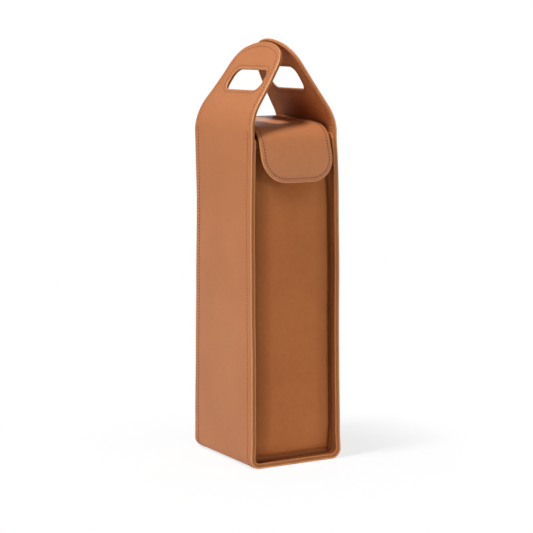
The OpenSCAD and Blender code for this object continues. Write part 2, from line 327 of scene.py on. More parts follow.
def boundary(quads):
    # Directed edges that only one face has
    edges = np.concatenate([quads[:, [k, (k + 1) % 4]] for k in range(4)])
    edges = edges[edges[:, 0] != edges[:, 1]]
    span = int(edges.max()) + 1
    return edges[~np.isin(edges @ [span, 1], edges @ [1, span])]


def makeObject(name, points, quads, materials, indices=None, pattern=None, rim=None):
    # Mesh in metres with its faces, materials and the two attributes that the leather reads:
    # each point's unsettled place, and its distance from the cut edge in millimetres
    mesh = bpy.data.meshes.new(name)
    faces, order = faceList(quads)
    mesh.from_pydata((points * mm).tolist(), [], faces)
    mesh.polygons.foreach_set("use_smooth", np.ones(len(faces), dtype=bool))
    if indices is not None:
        mesh.polygons.foreach_set("material_index", indices[order].astype(np.int32))
    if pattern is not None:
        layer = mesh.attributes.new("pattern", "FLOAT_VECTOR", "POINT")
        layer.data.foreach_set("vector", (pattern * mm).astype(np.float32).ravel())
    if rim is not None:
        layer = mesh.attributes.new("rimDistance", "FLOAT", "POINT")
        layer.data.foreach_set("value", rim.astype(np.float32))
    for material in materials:
        mesh.materials.append(material)
    mesh.update()
    return addObject(name, mesh)


rimSteps = 4
farFromEdge = 50.0


def leatherShell(name, parts, thickness, materials, facing, edgeRound, split=None, lines=None, kind="body"):
    # Front skin settled into place, a back skin one thickness under it along the normals, and
    # between them a rim that follows half an ellipse; a split edge gets a flat rim instead
    rest, quads, flat = skin(parts, facing)
    points = settle(rest, kind)
    normals = vertexNormals(points, quads)
    used, ends = np.unique(boundary(quads), return_inverse=True)
    i, j = ends.reshape(-1, 2).T
    along = points[used[j]] - points[used[i]]
    outward = np.zeros((len(used), 3))
    for end in (i, j):
        np.add.at(outward, end, np.cross(along, normals[used[end]]))
    outward = unit(outward)
    bulge = np.full(len(used), edgeRound)
    if split is not None:
        bulge[split(rest[used])] = 0
    rings = [used]
    stack = [points]
    restStack = [rest]
    base = len(points)
    for k in range(1, rimSteps):
        angle = math.pi * k / rimSteps
        under = normals[used] * thickness * (1 - math.cos(angle)) / 2
        stack.append(points[used] - under + outward * bulge[:, None] * math.sin(angle))
        restStack.append(rest[used] - under)
        rings.append(base + np.arange(len(used)))
        base += len(used)
    rings.append(base + used)
    stack.append(points - normals * thickness)
    restStack.append(rest - normals * thickness)
    faces = [quads, quads[:, ::-1] + base]
    kinds = [np.zeros(len(quads), int), np.ones(len(quads), int)]
    for upper, lower in zip(rings[:-1], rings[1:]):
        faces.append(stacked(upper[j], upper[i], lower[i], lower[j]))
        kinds.append(np.full(len(i), 2))
    distance = edgeDistance(flat, lines) if lines is not None else np.full(len(points), farFromEdge)
    fromEdge = np.concatenate([distance] + [np.zeros(len(used))] * (rimSteps - 1) + [distance])
    obj = makeObject(name, np.concatenate(stack), np.concatenate(faces), materials,
                     np.concatenate(kinds), np.concatenate(restStack), fromEdge)
    if split is not None:
        sharpenSplit(obj.data, used[bulge == 0], base)
    return obj


def sharpenSplit(mesh, flatPoints, base):
    # Hard corners where a flat rim meets the two skins
    ends = np.zeros(len(mesh.edges) * 2, np.int32)
    mesh.edges.foreach_get("vertices", ends)
    hard = np.isin(ends, np.concatenate([flatPoints, flatPoints + base])).reshape(-1, 2).all(1)
    layer = mesh.attributes.new("sharp_edge", "BOOLEAN", "EDGE")
    layer.data.foreach_set("value", hard)


def edgeDistance(flat, lines, spacing=0.6, batch=400):
    # Distance in the flat pattern to the nearest cut edge, each edge a closely spaced line
    dense = np.concatenate([resample(line, int(lineLength(line) / spacing) + 2) for line in lines])
    best = np.full(len(flat), np.inf)
    for start in range(0, len(dense), batch):
        away = np.linalg.norm(flat[:, None, :] - dense[None, start:start + batch], axis=2)
        best = np.minimum(best, away.min(1))
    return best


def lineLength(line):
    # Sum of the distances between its points
    return np.linalg.norm(np.diff(line, axis=0), axis=1).sum()


def nodeMaker(owner):
    # Empties a material's or the world's node tree and gives a function that adds a node to it,
    # with its inputs' values or links and its settings, and returns one of its outputs
    owner.use_nodes = True
    tree = owner.node_tree
    tree.nodes.clear()

    def add(kind, inputs=None, output=0, **settings):
        node = tree.nodes.new("ShaderNode" + kind)
        for name, value in settings.items():
            setattr(node, name, value)
        for name, value in (inputs or {}).items():
            if isinstance(value, bpy.types.NodeSocket):
                tree.links.new(value, node.inputs[name])
            else:
                node.inputs[name].default_value = value
        return node.outputs[output] if node.outputs else None

    return add


leather = {
    "light": (0.487, 0.182, 0.072),
    "dark": (0.438, 0.158, 0.060),
    # Shaded copy of the two browns, darker and more saturated, for faces that lie in shade: painted shade
    "shadedLight": (0.47, 0.155, 0.047),
    "shadedDark": (0.42, 0.131, 0.038),
    "liningLight": (0.36, 0.14, 0.05),
    "liningDark": (0.33, 0.125, 0.045),
    "edge": (0.42, 0.15, 0.047),
    # Lighter brown of the rounded cut edges: partly the edge paint's own tone, partly a painted highlight
    "rim": (0.64, 0.27, 0.11),
    "turned": (0.5, 0.18, 0.06),
    "slow": {"Scale": 14, "Detail": 5},     # noises and grain, in waves and cells to the metre
    "fine": {"Scale": 260, "Detail": 3},
    "grain": {"Scale": 1300},
    "grainDepth": 0.00015,
    "tint": (1, 0.8, 0.66, 1),
}


def leatherMaterial(name, light, dark, roughness=0.48, bump=0.3, edgeDark=0.93, shine=0.3, reach=(0, 2.2)):
    # Colour wanders between two browns with slow noise, cells of the grain are raised by a bump,
    # and the colour deepens towards a cut edge: as burnish over the last millimetres, and as painted shade of
    # a recess where a wide reach is given
    material = bpy.data.materials.new(name)
    add = nodeMaker(material)
    place = add("Attribute", output="Vector", attribute_name="pattern")
    rim = add("Attribute", output="Fac", attribute_name="rimDistance")
    slow = add("TexNoise", {"Vector": place, **leather["slow"]})
    fine = add("TexNoise", {"Vector": place, **leather["fine"]})
    mixed = add("Mix", {0: 0.35, 2: slow, 3: fine})
    spread = add("MapRange", {"Value": mixed, "From Min": 0.36, "From Max": 0.64})
    browns = add("Mix", {0: spread, 6: (*leather[dark], 1), 7: (*leather[light], 1)}, 2, data_type="RGBA")
    # Darker towards a cut edge by edgeDark: burnish over the last millimetres, and painted shade of a recess
    # where the reach is wide
    near = add("MapRange", {"Value": rim, "From Min": reach[0], "From Max": reach[1],
                            "To Min": edgeDark, "To Max": 1})
    burnishedAndShaded = add("Mix", {0: 1, 6: browns, 7: near}, 2, data_type="RGBA", blend_type="MULTIPLY")
    cells = add("TexVoronoi", {"Vector": place, **leather["grain"]}, "Distance")
    height = add("Mix", {0: 0.3, 2: cells, 3: fine})
    relief = add("Bump", {"Strength": bump, "Distance": leather["grainDepth"], "Height": height})
    shader = add("BsdfPrincipled", {"Base Color": burnishedAndShaded, "Normal": relief, "Roughness": roughness,
                                    "Specular IOR Level": shine, "Specular Tint": leather["tint"]})
    add("OutputMaterial", {0: shader})
    return material


def plainMaterial(name, colour, roughness, metallic=0.0, scale=400):
    # One colour, deepened a little by noise on Object coordinates, with a fine bump
    material = bpy.data.materials.new(name)
    add = nodeMaker(material)
    noise = add("TexNoise", {"Vector": add("TexCoord", output="Object"), "Scale": scale})
    deeper = [0.85 * share for share in colour]
    mixed = add("Mix", {0: noise, 6: (*deeper, 1), 7: (*colour, 1)}, 2, data_type="RGBA")
    relief = add("Bump", {"Strength": 0.1, "Distance": 0.0002, "Height": noise})
    shader = add("BsdfPrincipled", {"Base Color": mixed, "Normal": relief, "Roughness": roughness,
                                    "Metallic": metallic})
    add("OutputMaterial", {0: shader})
    return material


tanLeather = leatherMaterial("tan_leather", "light", "dark")
# Rounded edges of the outer leather: their light brown is partly their own tone, partly a painted highlight
tanEdge = leatherMaterial("tan_edge", "rim", "rim", roughness=0.34, bump=0.1, edgeDark=1, shine=0.6)
turnedEdge = leatherMaterial("turned_edge", "turned", "turned", bump=0.1, edgeDark=1)
# The front panel's face is darkest within 7 mm of its cut edge and back to full colour at 30 mm: painted
# shade of its recess; its browns are the shaded copy, painted shade too
panelLeather = leatherMaterial("panel_leather", "shadedLight", "shadedDark", roughness=0.56, edgeDark=0.64,
                               shine=0.16, reach=(7, 30))
# The handles' inner faces take the shaded copy of the browns: painted shade
innerLeather = leatherMaterial("inner_leather", "shadedLight", "shadedDark", roughness=0.66, bump=0.12,
                               shine=0.16)
liningLeather = leatherMaterial("lining_leather", "liningLight", "liningDark", roughness=0.6)
edgePaint = leatherMaterial("edge_paint", "edge", "edge", bump=0.1, edgeDark=1)
# Near-black brown: partly the thread's own dark colour, partly painted shade of the stitch holes
darkThread = plainMaterial("thread", (0.05, 0.013, 0.005), 0.7, scale=3000)
tonalThread = plainMaterial("tonal_thread", (0.30, 0.098, 0.032), 0.6, scale=3000)
boardMaterial = plainMaterial("insert_board", (0.2, 0.1, 0.05), 0.8)
metalMaterial = plainMaterial("snap_plating", (0.72, 0.7, 0.66), 0.3, 1.0, 900)

# Materials of a shell's front, back and rim
tanSet = [tanLeather, liningLeather, tanEdge]
paintedSet = [liningLeather, liningLeather, edgePaint]


def fasten(obj, slot, nodes=(), bodies=("case",), **ends):
    # The piece takes the place of its CAD nodes and rides on one body; when ends are given, its
    # place is only baked into its mesh. The slot is not used.
    if nodes:
        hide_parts(*nodes)
    if ends:
        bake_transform(obj)
    else:
        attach(obj, *bodies)


strap = {
    "fold": 10.0,
    "layers": {"outer": (0.0, 1.7), "core": (1.7, 0.6), "lining": (3.6, 1.3)},
    "taper": 0.15,
    "crown": 85.3,
    "corner": 27.0,
    "gripUp": 45.2,           # from the bend line, along the leather
    "gripWidth": 70.3,
    "gripTop": 10.3,
    "gripFoot": 9.4,
    "patchStart": 29.0,       # where the rings round the grip hole take over from rows
    "patchGap": 13.0,         # leather at least this wide has its rings at full spacing
    "spare": 14.0,            # of its path, past the handle's tip
    "bendSpan": 30.0,         # leather beyond the bend line with close rows
    "blend": (-2.0, 18.0),    # heights from the bend line given as the start and end of the handle's blend
    "spacing": {"base": 8, "fold": 1.6, "side": 6.5, "bend": 2.2},
    "facesDown": 60.0,        # below this height its outside looks down as well
    # drop, radius and turn of the bend and the turn back, at the front and the back edge
    "left": {"length": 101.06, "shift": -4.1, "gripHeight": 25.9, "front": (2.88, 54.0, 36.18, 5.5),
             "back": (1.99, 55.69, 38.08, 12.55)},
    "right": {"length": 101.58, "shift": 1.2, "gripHeight": 27.4, "front": (2.29, 53.13, 32.71, 2.45),
              "back": (1.68, 43.81, 32.03, 14.37)},
}
stitch = {"pitch": 3.3, "length": 2.3, "radius": 0.42, "slant": 8.0, "rise": 0.18, "sink": 0.36,
          "rings": 5, "corners": 6}


def stitchRows(name, surface, facing, rows, material, kind="body"):
    # Rows are lines in the flat. Each stitch is a tube whose rings get narrower towards its ends,
    # as the root of 1 - 0.9 t^2, and dip under the leather as t^2; its upward direction is the
    # cross product of the surface's two tangents
    ringCount, corners = stitch["rings"], stitch["corners"]
    centres, directions = [], []
    for row in rows:
        length = lineLength(row)
        count = max(1, int(length / stitch["pitch"]))
        middle = (np.arange(count) + 0.5) / count
        step = 0.4 / length
        ahead = resample(row, np.minimum(middle + step, 1))
        behind = resample(row, np.maximum(middle - step, 0))
        centres.append(resample(row, middle))
        directions.append(unit(ahead - behind))
    centre, along = np.concatenate(centres)[:, None], np.concatenate(directions)[:, None]
    turn = math.radians(stitch["slant"])
    aside = stacked(-along[..., 1], along[..., 0])
    t = np.linspace(-1, 1, ringCount)[None, :, None]
    flat = centre + (along * math.cos(turn) + aside * math.sin(turn)) * t * stitch["length"] / 2

    def settled(place):
        # Settled place of points in the flat
        return settle(surface(place[..., 0], place[..., 1]), kind)

    def slope(offset):
        # The surface's tangent along the offset
        return settled(flat + offset) - settled(flat - offset)

    up = unit(np.cross(slope(np.array([0.2, 0])), slope(np.array([0, 0.2]))))
    points = settled(flat)
    up *= np.sign((up * facing(points.reshape(-1, 3)).reshape(points.shape)).sum(-1).mean())
    run = np.gradient(points, axis=1)
    side = unit(np.cross(up, run))
    angle = np.linspace(0, 2 * math.pi, corners + 1)[:-1][None, None, :, None]
    radius = (stitch["radius"] * np.sqrt(1 - 0.9 * t ** 2))[..., None]
    height = (stitch["rise"] - stitch["sink"] * t ** 2)[..., None]
    ring = (points[:, :, None] + up[:, :, None] * (height + radius * np.cos(angle))
            + side[:, :, None] * radius * np.sin(angle))
    size = ringCount * corners
    number = np.arange(len(ring))[:, None, None] * size
    cap = np.array([[3, 2, 1, 0], [5, 4, 3, 0]])
    tube = np.concatenate([gridQuads(ringCount, corners, True), cap, cap[:, ::-1] + size - corners])
    quads = (tube[None] + number).reshape(-1, 4)
    points = ring.reshape(-1, 3)
    a, b, c, d = points[quads[0]]
    if np.dot(np.cross(c - a, d - b), (a + b + c + d) / 4 - points[:size].mean(0)) < 0:
        quads = quads[:, ::-1]
    return makeObject(name, points, quads, [material])


sideSign = {"left": -1, "right": 1}
baseHalf = halfWidth - strap["fold"]
foldLength = strap["fold"] * math.pi / 2
bendStart = baseHalf + foldLength + strapTop - strap["fold"]
edgeRows = np.array([0, 0.8, 2, 4, 6, 8.5, 12])


def strapPath(side, edge):
    # Half of the strap in front view, from under the middle out, up and in past the handle's tip
    drop, radius, turn, back = strap[side][edge]
    bend = radius * math.radians(turn)
    return pathTable((0, 0), 0, [(baseHalf, 0), (foldLength, 90), (strapTop - strap["fold"] - drop, 0),
                                 (bend, turn),
                                 (strap[side]["length"] + strap["spare"] + drop - bend, -back)])


strapPaths = {side: {edge: strapPath(side, edge) for edge in ("front", "back")} for side in sideSign}


def strapPlace(side, along, across, depth):
    # Place on the front edge's path and on the back edge's, each less its outward normal times
    # depth, mixed by y and mirrored for the left
    front = np.clip(0.5 - across / (2 * halfDepth), 0, 1)
    x, z = 0, 0
    for edge, share in (("front", front), ("back", 1 - front)):
        first, second, nx, nz = onPath(strapPaths[side][edge], along)
        x = x + share * (first - nx * depth)
        z = z + share * (second - nz * depth)
    return stacked(sideSign[side] * x, across, z)


def strapHalf(along):
    # Half the strap's width at a place along it
    return halfDepth - strap["taper"] * np.clip(along - bendStart, 0, None)


def handleOutline(side, inset, low):
    # Right half of the handle's edge in the flat: a straight side, a corner arc and the crown
    tip = bendStart + strap[side]["length"] - inset
    crownR, cornerR = strap["crown"] - inset, strap["corner"] - inset
    crown = np.array([0, tip - crownR])
    slope = math.atan(strap["taper"])
    along = np.array([-math.sin(slope), math.cos(slope)])
    into = np.array([-math.cos(slope), -math.sin(slope)])
    foot = np.array([strapHalf(low) - inset / math.cos(slope), low])
    start = foot + into * cornerR - crown
    reach = crownR - cornerR
    dot = start @ along
    run = math.sqrt(dot * dot - start @ start + reach * reach) - dot
    centre = crown + start + along * run
    toCrown = math.degrees(math.atan2(centre[1] - crown[1], centre[0] - crown[0]))
    sideLine = np.stack([foot, foot + along * run])
    cornerArc = arc(centre, cornerR, math.degrees(slope), toCrown, 24)
    crownArc = arc(crown, crownR, toCrown, 90, 60)
    return sideLine, cornerArc, crownArc


def gripOutline(side, grow):
    # The grip hole's edge in the flat, made larger all round: right, top, left and lower piece
    low = bendStart + strap["gripUp"] - grow
    high = low + strap[side]["gripHeight"] + 2 * grow
    half = strap["gripWidth"] / 2 + grow
    foot, top = strap["gripFoot"] + grow, strap["gripTop"] + grow
    footArc = arc((half - foot, low + foot), foot, -90, 0, 17)
    topArc = arc((half - top, high - top), top, 0, 90, 17)
    right = np.concatenate([footArc[8:], topArc[:9]])
    upper = np.concatenate([topArc[8:], mirrored(topArc[8:])])
    lower = np.concatenate([mirrored(footArc[:9]), footArc[:9]])
    return [piece + [strap[side]["shift"], 0] for piece in (right, upper, mirrored(right), lower)]


def handleEdge(side, inset, low):
    # The handle's whole edge in the flat, up its right side and down its left
    sideLine, cornerArc, crownArc = handleOutline(side, inset, low)
    half = np.concatenate([sideLine, cornerArc[1:], crownArc[1:]])
    return np.concatenate([half, mirrored(half)[1:]])


def clearRuns(row, edges, least):
    # The stretches of a row that stay at least this far from the edges
    near = edgeDistance(row, edges) < least
    cuts = np.flatnonzero(np.diff(near.astype(int))) + 1
    return [run for run, skip in zip(np.split(row, cuts), np.split(near, cuts)) if not skip[0]]


# How far each row of thread is from its edge, how near another edge it may come, and where it
# starts or ends, along the leather or past the bend line
sewing = {"front": 6.6, "back": 7.4, "handle": 4.6, "hole": 2.8, "fin": 3.2, "flap": 3.5,
          "handleClear": 1.3, "holeClear": 5.3, "strapStart": 1.65, "strapPast": 3.0,
          "handlePast": 8.0, "flapStart": 8.0, "finEnd": 1.0}


def handleRows(side, low):
    # Thread along the handle's edge and round its grip hole, left out where leather is too narrow
    edge, hole = handleEdge(side, 0, low), gripOutline(side, 0)
    row = resample(handleEdge(side, sewing["handle"], low), 601)
    ring = np.concatenate(gripOutline(side, sewing["hole"]))
    ring = resample(np.concatenate([ring, ring[:1]]), 401)[:-1]
    ring = np.roll(ring, -int(edgeDistance(ring, [edge]).argmin()), axis=0)
    return clearRuns(row, hole, sewing["handleClear"]) + clearRuns(ring, [edge], sewing["holeClear"])


def handleLoops(side, low, columns):
    # Four matching pieces of the handle's edge and of the grip hole's edge, each point for point
    sideLine, cornerArc, crownArc = handleOutline(side, 0, low)
    half = len(cornerArc) // 2
    right = np.concatenate([sideLine, cornerArc[1:half + 1]])
    crown = np.concatenate([cornerArc[half:], crownArc[1:]])
    crown = np.concatenate([crown, mirrored(crown)[1:]])
    holeRight, holeTop, holeLeft, holeLower = gripOutline(side, 0)
    counts = (len(columns), 17, 45, 17)

    def loop(pieces):
        # The pieces end to end, each with its count of points
        return np.concatenate([resample(piece, count)[:-1] for piece, count in zip(pieces, counts)])

    return (loop((columns, right, crown, mirrored(right))),
            loop((holeLower, holeRight, holeTop, holeLeft)))


def strapRows(start, stop):
    # Places along the strap: close together in the fold and the bend, wide apart on the flat
    gap = strap["spacing"]
    rows = spaced(0, (baseHalf, gap["base"]), (baseHalf + foldLength, gap["fold"]),
                  (bendStart, gap["side"]), (bendStart + strap["bendSpan"], gap["bend"]))
    return between(joined(rows, [start, stop]), start, stop)


def columnsAcross(half, count):
    # Places across at each row: fixed steps near both edges, even ones between
    near = half[:, None] - edgeRows[None, :]
    inner = near[:, -1:] * np.linspace(-1, 1, count)[None, 1:-1]
    return np.concatenate([-near, inner, near[:, ::-1]], axis=1)


def strapParts(side, depth, start, stop, patch):
    # Rows of strap, and when the handle is wanted the rings between its edge and its grip hole,
    # whose points lie on straight lines from one to the other
    top = bendStart + strap["patchStart"]
    rows = strapRows(start, top if patch else stop)
    half = strapHalf(rows)
    across = columnsAcross(half, 13)
    along = np.repeat(rows[:, None], across.shape[1], 1)
    parts = [grid(strapPlace(side, along, across, depth), across, along)]
    lines = [stacked(k * half, rows) for k in (1, -1)]
    if patch:
        columns = stacked(across[-1], along[-1])
        outer, inner = handleLoops(side, top, columns)
        outer[:len(columns)] = columns
        gap = np.linalg.norm(inner - outer, axis=1)[None, :]
        near = edgeRows[:5, None] * np.minimum(1, gap / strap["patchGap"]) / gap
        middle = near[-1] + (1 - 2 * near[-1]) * np.linspace(0, 1, 6)[1:-1, None]
        t = np.concatenate([near, middle, 1 - near[::-1]])[..., None]
        flat = outer[None] * (1 - t) + inner[None] * t
        parts.append((strapPlace(side, flat[..., 1], flat[..., 0], depth),
                      gridQuads(*flat.shape[:2], True), flat))
        lines += [handleEdge(side, 0, top)] + gripOutline(side, 0)
    return parts, lines


def underMiddle(rest):
    # Where the two halves meet under the base
    return np.abs(rest[:, 0]) < touching


def layerFacing(layer, sign):
    # Away from the case's middle line at the sides and down at the base, and a lining the other way
    way = -1 if layer == "lining" else 1
    return lambda rest: way * stacked(sign * np.abs(rest[:, 0]), 0,
                                      np.minimum(rest[:, 2] - strap["facesDown"], 0))


seam = bendStart + 5      # where the lining is cut between strap and handle
finish = {"outer": (tanSet, 0.75, "outer_leather"),
          "core": ([edgePaint] * 3, 0.08, "board"),
          "lining": ([innerLeather, liningLeather, edgePaint], 0.18, "handle_lining_leather")}
handleBlend = {}
for side, sign in sideSign.items():
    handle = side + "_handle"
    blendStart, blendEnd = (Vector((sign * halfWidth, 0, strapTop + up)) * mm for up in strap["blend"])
    handleBlend[side] = {"bodies": ("case", handle), "start": blendStart, "end": blendEnd}
    sections = [
        ("strap_leather_" + side, "outer", 0, None, ("outer_strap", handle + "_outer")),
        ("strap_core_" + side, "core", 0, None, (side + "_side_board", handle + "_core", "base_board")),
        ("strap_lining_" + side, "lining", 0, seam, ("inner_strap",)),
        (handle + "_inner", "lining", seam, None, (handle + "_lining",)),
    ]
    for name, layer, start, stop, nodes in sections:
        depth, thickness = strap["layers"][layer]
        parts, lines = strapParts(side, depth, start, stop, stop is None)
        facing = layerFacing(layer, sign)
        materials, roundness, slot = finish[layer]
        obj = leatherShell(name, parts, thickness, materials, facing, roundness, underMiddle, lines, side)
        fasten(obj, slot, nodes, **handleBlend[side])

# Thread: dark along the back edges, and in the leather's colour along the front edges, round the
# handles and round their grip holes
sewnFrom, sewnTo = sewing["strapStart"], bendStart + sewing["strapPast"]
backRow = np.array([[halfDepth - sewing["back"], place] for place in (sewnFrom, sewnTo)])
frontRow = np.array([[sewing["front"] - halfDepth, place] for place in (sewnFrom, sewnTo)])
for side, sign in sideSign.items():
    rows = handleRows(side, bendStart + sewing["handlePast"])
    threads = [
        ("strap_thread_" + side, "outer", [backRow], darkThread),
        (side + "_handle_thread", "outer", rows + [frontRow], tonalThread),
        (side + "_handle_inner_thread", "lining", rows, tonalThread),
    ]
    for name, layer, lines, material in threads:
        surface = lambda u, v, side=side, layer=layer: strapPlace(side, v, u, strap["layers"][layer][0])
        thread = stitchRows(name, surface, layerFacing(layer, sign), lines, material, side)
        fasten(thread, finish[layer][2], **handleBlend[side])
print("strap and handles made")


panel = {
    "rimHalf": 46.36,
    "rimRadius": 6.3,
    "thickness": 1.6,
    "bend": 4.6,
    "finDepth": 12.0,         # of the turned-out edge
    "notch": 5.0,             # cut off its two upper ends
    "notchRun": 12.0,
    "liningDepth": 2.7,
    "liningThickness": 0.95,
    "middle": 150.0,          # height that the turned-out edges face
    "cornerSpan": 36.0,       # of the sides, with closer rows above the corners
    "spacing": {"notch": 1.5, "side": 6.5, "nearCorner": 2, "corner": 1.4, "base": 5, "bend": 0.7},
}
panelY = halfDepth - panel["finDepth"]
rimStraight = panelTop - strap["fold"]
rimPath = pathTable((-panel["rimHalf"], panelTop), -90,
                    [(rimStraight, 0), (panel["rimRadius"] * math.pi / 2, 90), (2 * baseHalf, 0),
                     (panel["rimRadius"] * math.pi / 2, 90), (rimStraight, 0)])
finPath = pathTable((panel["thickness"], -halfDepth), 90,
                    [(panel["finDepth"] - panel["bend"], 0), (panel["bend"] * math.pi / 2, -90),
                     (panel["rimRadius"] - panel["thickness"] - panel["bend"], 0)])


def trayPlace(along, profile):
    # Rim path moved inward by the section's first value, at the depth of its second
    x, z, rx, rz = onPath(rimPath, along)
    n, y = onPath(finPath, profile)[:2]
    return stacked(x - rx * n, y, z - rz * n)


def trayParts(columns):
    # Rim grid with the notches sheared off at its two ends, and the flat inside it
    knots, ends = rimPath["knots"], finPath["knots"]
    total, notch, run, gap = knots[-1], panel["notch"], panel["notchRun"], panel["spacing"]
    rows = spaced(0, (run, gap["notch"]), (knots[1], gap["side"]), (knots[2], gap["corner"]),
                  (knots[3], gap["base"]), (knots[4], gap["corner"]), (total - run, gap["side"]),
                  (total, gap["notch"]))
    close = evenly(0, panel["cornerSpan"], gap["nearCorner"])
    rows = joined(rows, knots[1] - close, knots[4] + close)
    profile = joined(edgeRows[:5], evenly(ends[1], ends[2], gap["bend"]), ends[2:])
    along, section = np.meshgrid(rows, profile, indexing="ij")
    cut = np.clip(notch - section, 0, None)
    near = np.clip(1 - along / run, 0, 1)
    far = np.clip(1 - (total - along) / run, 0, 1)
    moved = along + cut * near - cut * far
    x, z = np.meshgrid(columns, panelTop - between(rows, 0, knots[1])[::-1])
    parts = [grid(trayPlace(moved, section), section, moved),
             grid(stacked(x, -panelY, z), profile[-1] + baseHalf - np.abs(x), z)]
    lines = [np.array([[notch, 0], [0, notch], [0, total - notch], [notch, total], [30, total]])]
    return parts, lines


def insideColumns(half):
    # Columns of a panel's flat part, with two at the flap's sides
    floor = joined(evenly(-baseHalf, baseHalf, 5), evenly(-baseHalf, -26, 1.5), evenly(26, baseHalf, 1.5))
    return joined(floor[np.abs(floor) < half - 1.5], [-half, half, -baseHalf, baseHalf])


def recessSide(rest):
    # The seen side of a panel looks out of its recess
    return stacked(0, np.where(np.abs(rest[:, 0]) < 40, np.sign(rest[:, 1]), 0), 0)


flap = {
    "half": 39.5,
    # length and turn of each stretch, from the back panel's top edge to the tongue's lower edge
    "path": [(23.56, -95.5), (48.9, 4.7), (25.1, -10.8), (26.6, -59.5), (39.1, -11.5)],
    "corner": 25.0,
    "thickness": 1.6,
    "liningDepth": 2.9,
    "liningThickness": 1.2,
    "split": 55.0,            # where its leather is cut across for the tongue
    "patch": 38.0,            # length of the tongue's round end
    "blendRun": (0, -8.0, 14.0),        # from the panel's top edge to the end of the bend
    "tongueEnd": (0, -59.5, 333.0),     # where the tongue's bend ends
    # end and spacing of each stretch of rows, close together in its two bends
    "rows": [(24, 1.6), (95, 5), (128, 1.6)],
    "endSpacing": 4.0,
}
parts, lines = trayParts(insideColumns(flap["half"]))
frontPanel = leatherShell("front_panel_leather", parts, panel["thickness"],
                          [panelLeather, liningLeather, turnedEdge], recessSide, 0.35, None, lines)
fasten(frontPanel, "outer_leather", ["front_panel"])

# One row round each recess on the turned-out edge, a few millimetres from its cut edge
finEnd = panel["notch"] + sewing["finEnd"]
rimEnds = np.array([finEnd, rimPath["knots"][-1] - finEnd])
finRow = stacked(sewing["fin"], rimEnds)
inward = lambda points: np.array([0, 0, panel["middle"]]) - points * [1, 0, 1]
for name, turn in (("front_edge_thread", 1), ("back_edge_thread", -1)):
    surface = lambda u, v, turn=turn: trayPlace(v, u) * np.array([turn, turn, 1])
    fasten(stitchRows(name, surface, inward, [finRow], darkThread), "outer_leather")

# The flap's path runs forward over the case: first value forward (-Y), second up
flapPath = pathTable((-panelY, panelTop), 90, flap["path"])
flapLength = flapPath["knots"][-1]


def flapPlace(along, across, depth):
    # Path place less its outward normal times depth
    forward, up, rx, rz = onPath(flapPath, along)
    return stacked(across, -(forward + rx * depth), up + rz * depth)


def flapRows(start, stop):
    # Places along the flap, with both ends among them
    rows = spaced(0, *flap["rows"], (flapLength, flap["endSpacing"]))
    return between(joined(rows, [start, stop]), start, stop)


def tongueCorner(inset, count):
    # The tongue's right corner in the flat, from its side to its lower edge
    reach = flap["corner"]
    return arc((flap["half"] - reach, flapLength - reach), reach - inset, 0, 90, count)


flapColumns = columnsAcross(np.array([flap["half"]]), 11)[0]


def flapParts(depth, tongue):
    # Rows across the flap, before or behind its cut; the tongue's round end is a patch that mixes
    # its four edges, each point the sum of both pairs' straight mixes less the mix of the corners
    columns, half = flapColumns, flap["half"]
    patchRow = flapLength - flap["patch"]
    start, last = (flap["split"], patchRow) if tongue else (0.0, flap["split"])
    rows = flapRows(start, last)
    along, across = np.meshgrid(rows, columns, indexing="ij")
    parts = [grid(flapPlace(along, across, depth), across, along)]
    lines = [np.array([[k * half, start], [k * half, last]]) for k in (1, -1)]
    if tongue:
        corner = tongueCorner(0, 30)
        middle = len(corner) // 2
        rightLine = np.concatenate([[[half, patchRow]], corner[:middle + 1]])
        endLine = np.concatenate([corner[middle:], mirrored(corner[middle:])])[::-1]
        length = lineLength(rightLine)
        down = joined(evenly(0, length - 12, 3), length - edgeRows) / length
        u = (columns - columns[0]) / (columns[-1] - columns[0])
        top = stacked(columns, patchRow)
        bottom = resample(endLine, u)
        right = resample(rightLine, down)
        left = right * [-1, 1]
        uu, vv = u[None, :, None], down[:, None, None]
        flat = ((1 - vv) * top[None] + vv * bottom[None] + (1 - uu) * left[:, None] + uu * right[:, None]
                - (1 - uu) * (1 - vv) * top[0] - uu * (1 - vv) * top[-1]
                - (1 - uu) * vv * bottom[0] - uu * vv * bottom[-1])
        parts.append((flapPlace(flat[..., 1], flat[..., 0], depth), gridQuads(*flat.shape[:2]), flat))
        lines += [rightLine, rightLine * [-1, 1], endLine]
    return parts, lines


# The back panel has the front one's form after half a turn, kept clear of the flap in the flat
flatShift = [100, 0]
backTray, backLines = trayParts(joined([-baseHalf], flapColumns, [baseHalf]))
backTray = [(place * [-1, -1, 1], quads, flat - flatShift) for place, quads, flat in backTray]
backLines = [line - flatShift for line in backLines]
flapStart = Vector((0, panelY, panelTop)) * mm
flapHinge = Vector((0, float(hinge["tongue_lift"][1]), float(hinge["tongue_lift"][2]))) * mm
flapBlend = {"bodies": ("case", "flap"), "start": flapStart,
             "end": flapStart + Vector(flap["blendRun"]) * mm}
tongueBlend = {"bodies": ("flap", "tongue"), "start": flapHinge, "end": Vector(flap["tongueEnd"]) * mm}


def backOutside(rest):
    # Backwards on the panel, upwards on the flap
    return stacked(0, (rest[:, 2] < panelTop) & (np.abs(rest[:, 0]) < 40), rest[:, 2] > panelTop + 8)


def upAndForward(rest):
    # The same direction everywhere
    return stacked(0 * rest[:, 0], -1, 1)


def downIn(rest):
    # Into the case from the linings
    return stacked(0, np.where(rest[:, 2] < panelTop, -np.sign(rest[:, 1]), 0),
                   np.where(rest[:, 2] > panelTop + 8, -1, 0))


def cutAcross(depth):
    # Which places lie on the cut across the flap, for leather this deep
    cut = flapPlace(flap["split"], 0.0, depth)[1]
    return lambda rest: (np.abs(rest[:, 1] - cut) < 0.05) & (rest[:, 2] > panelTop + 5)


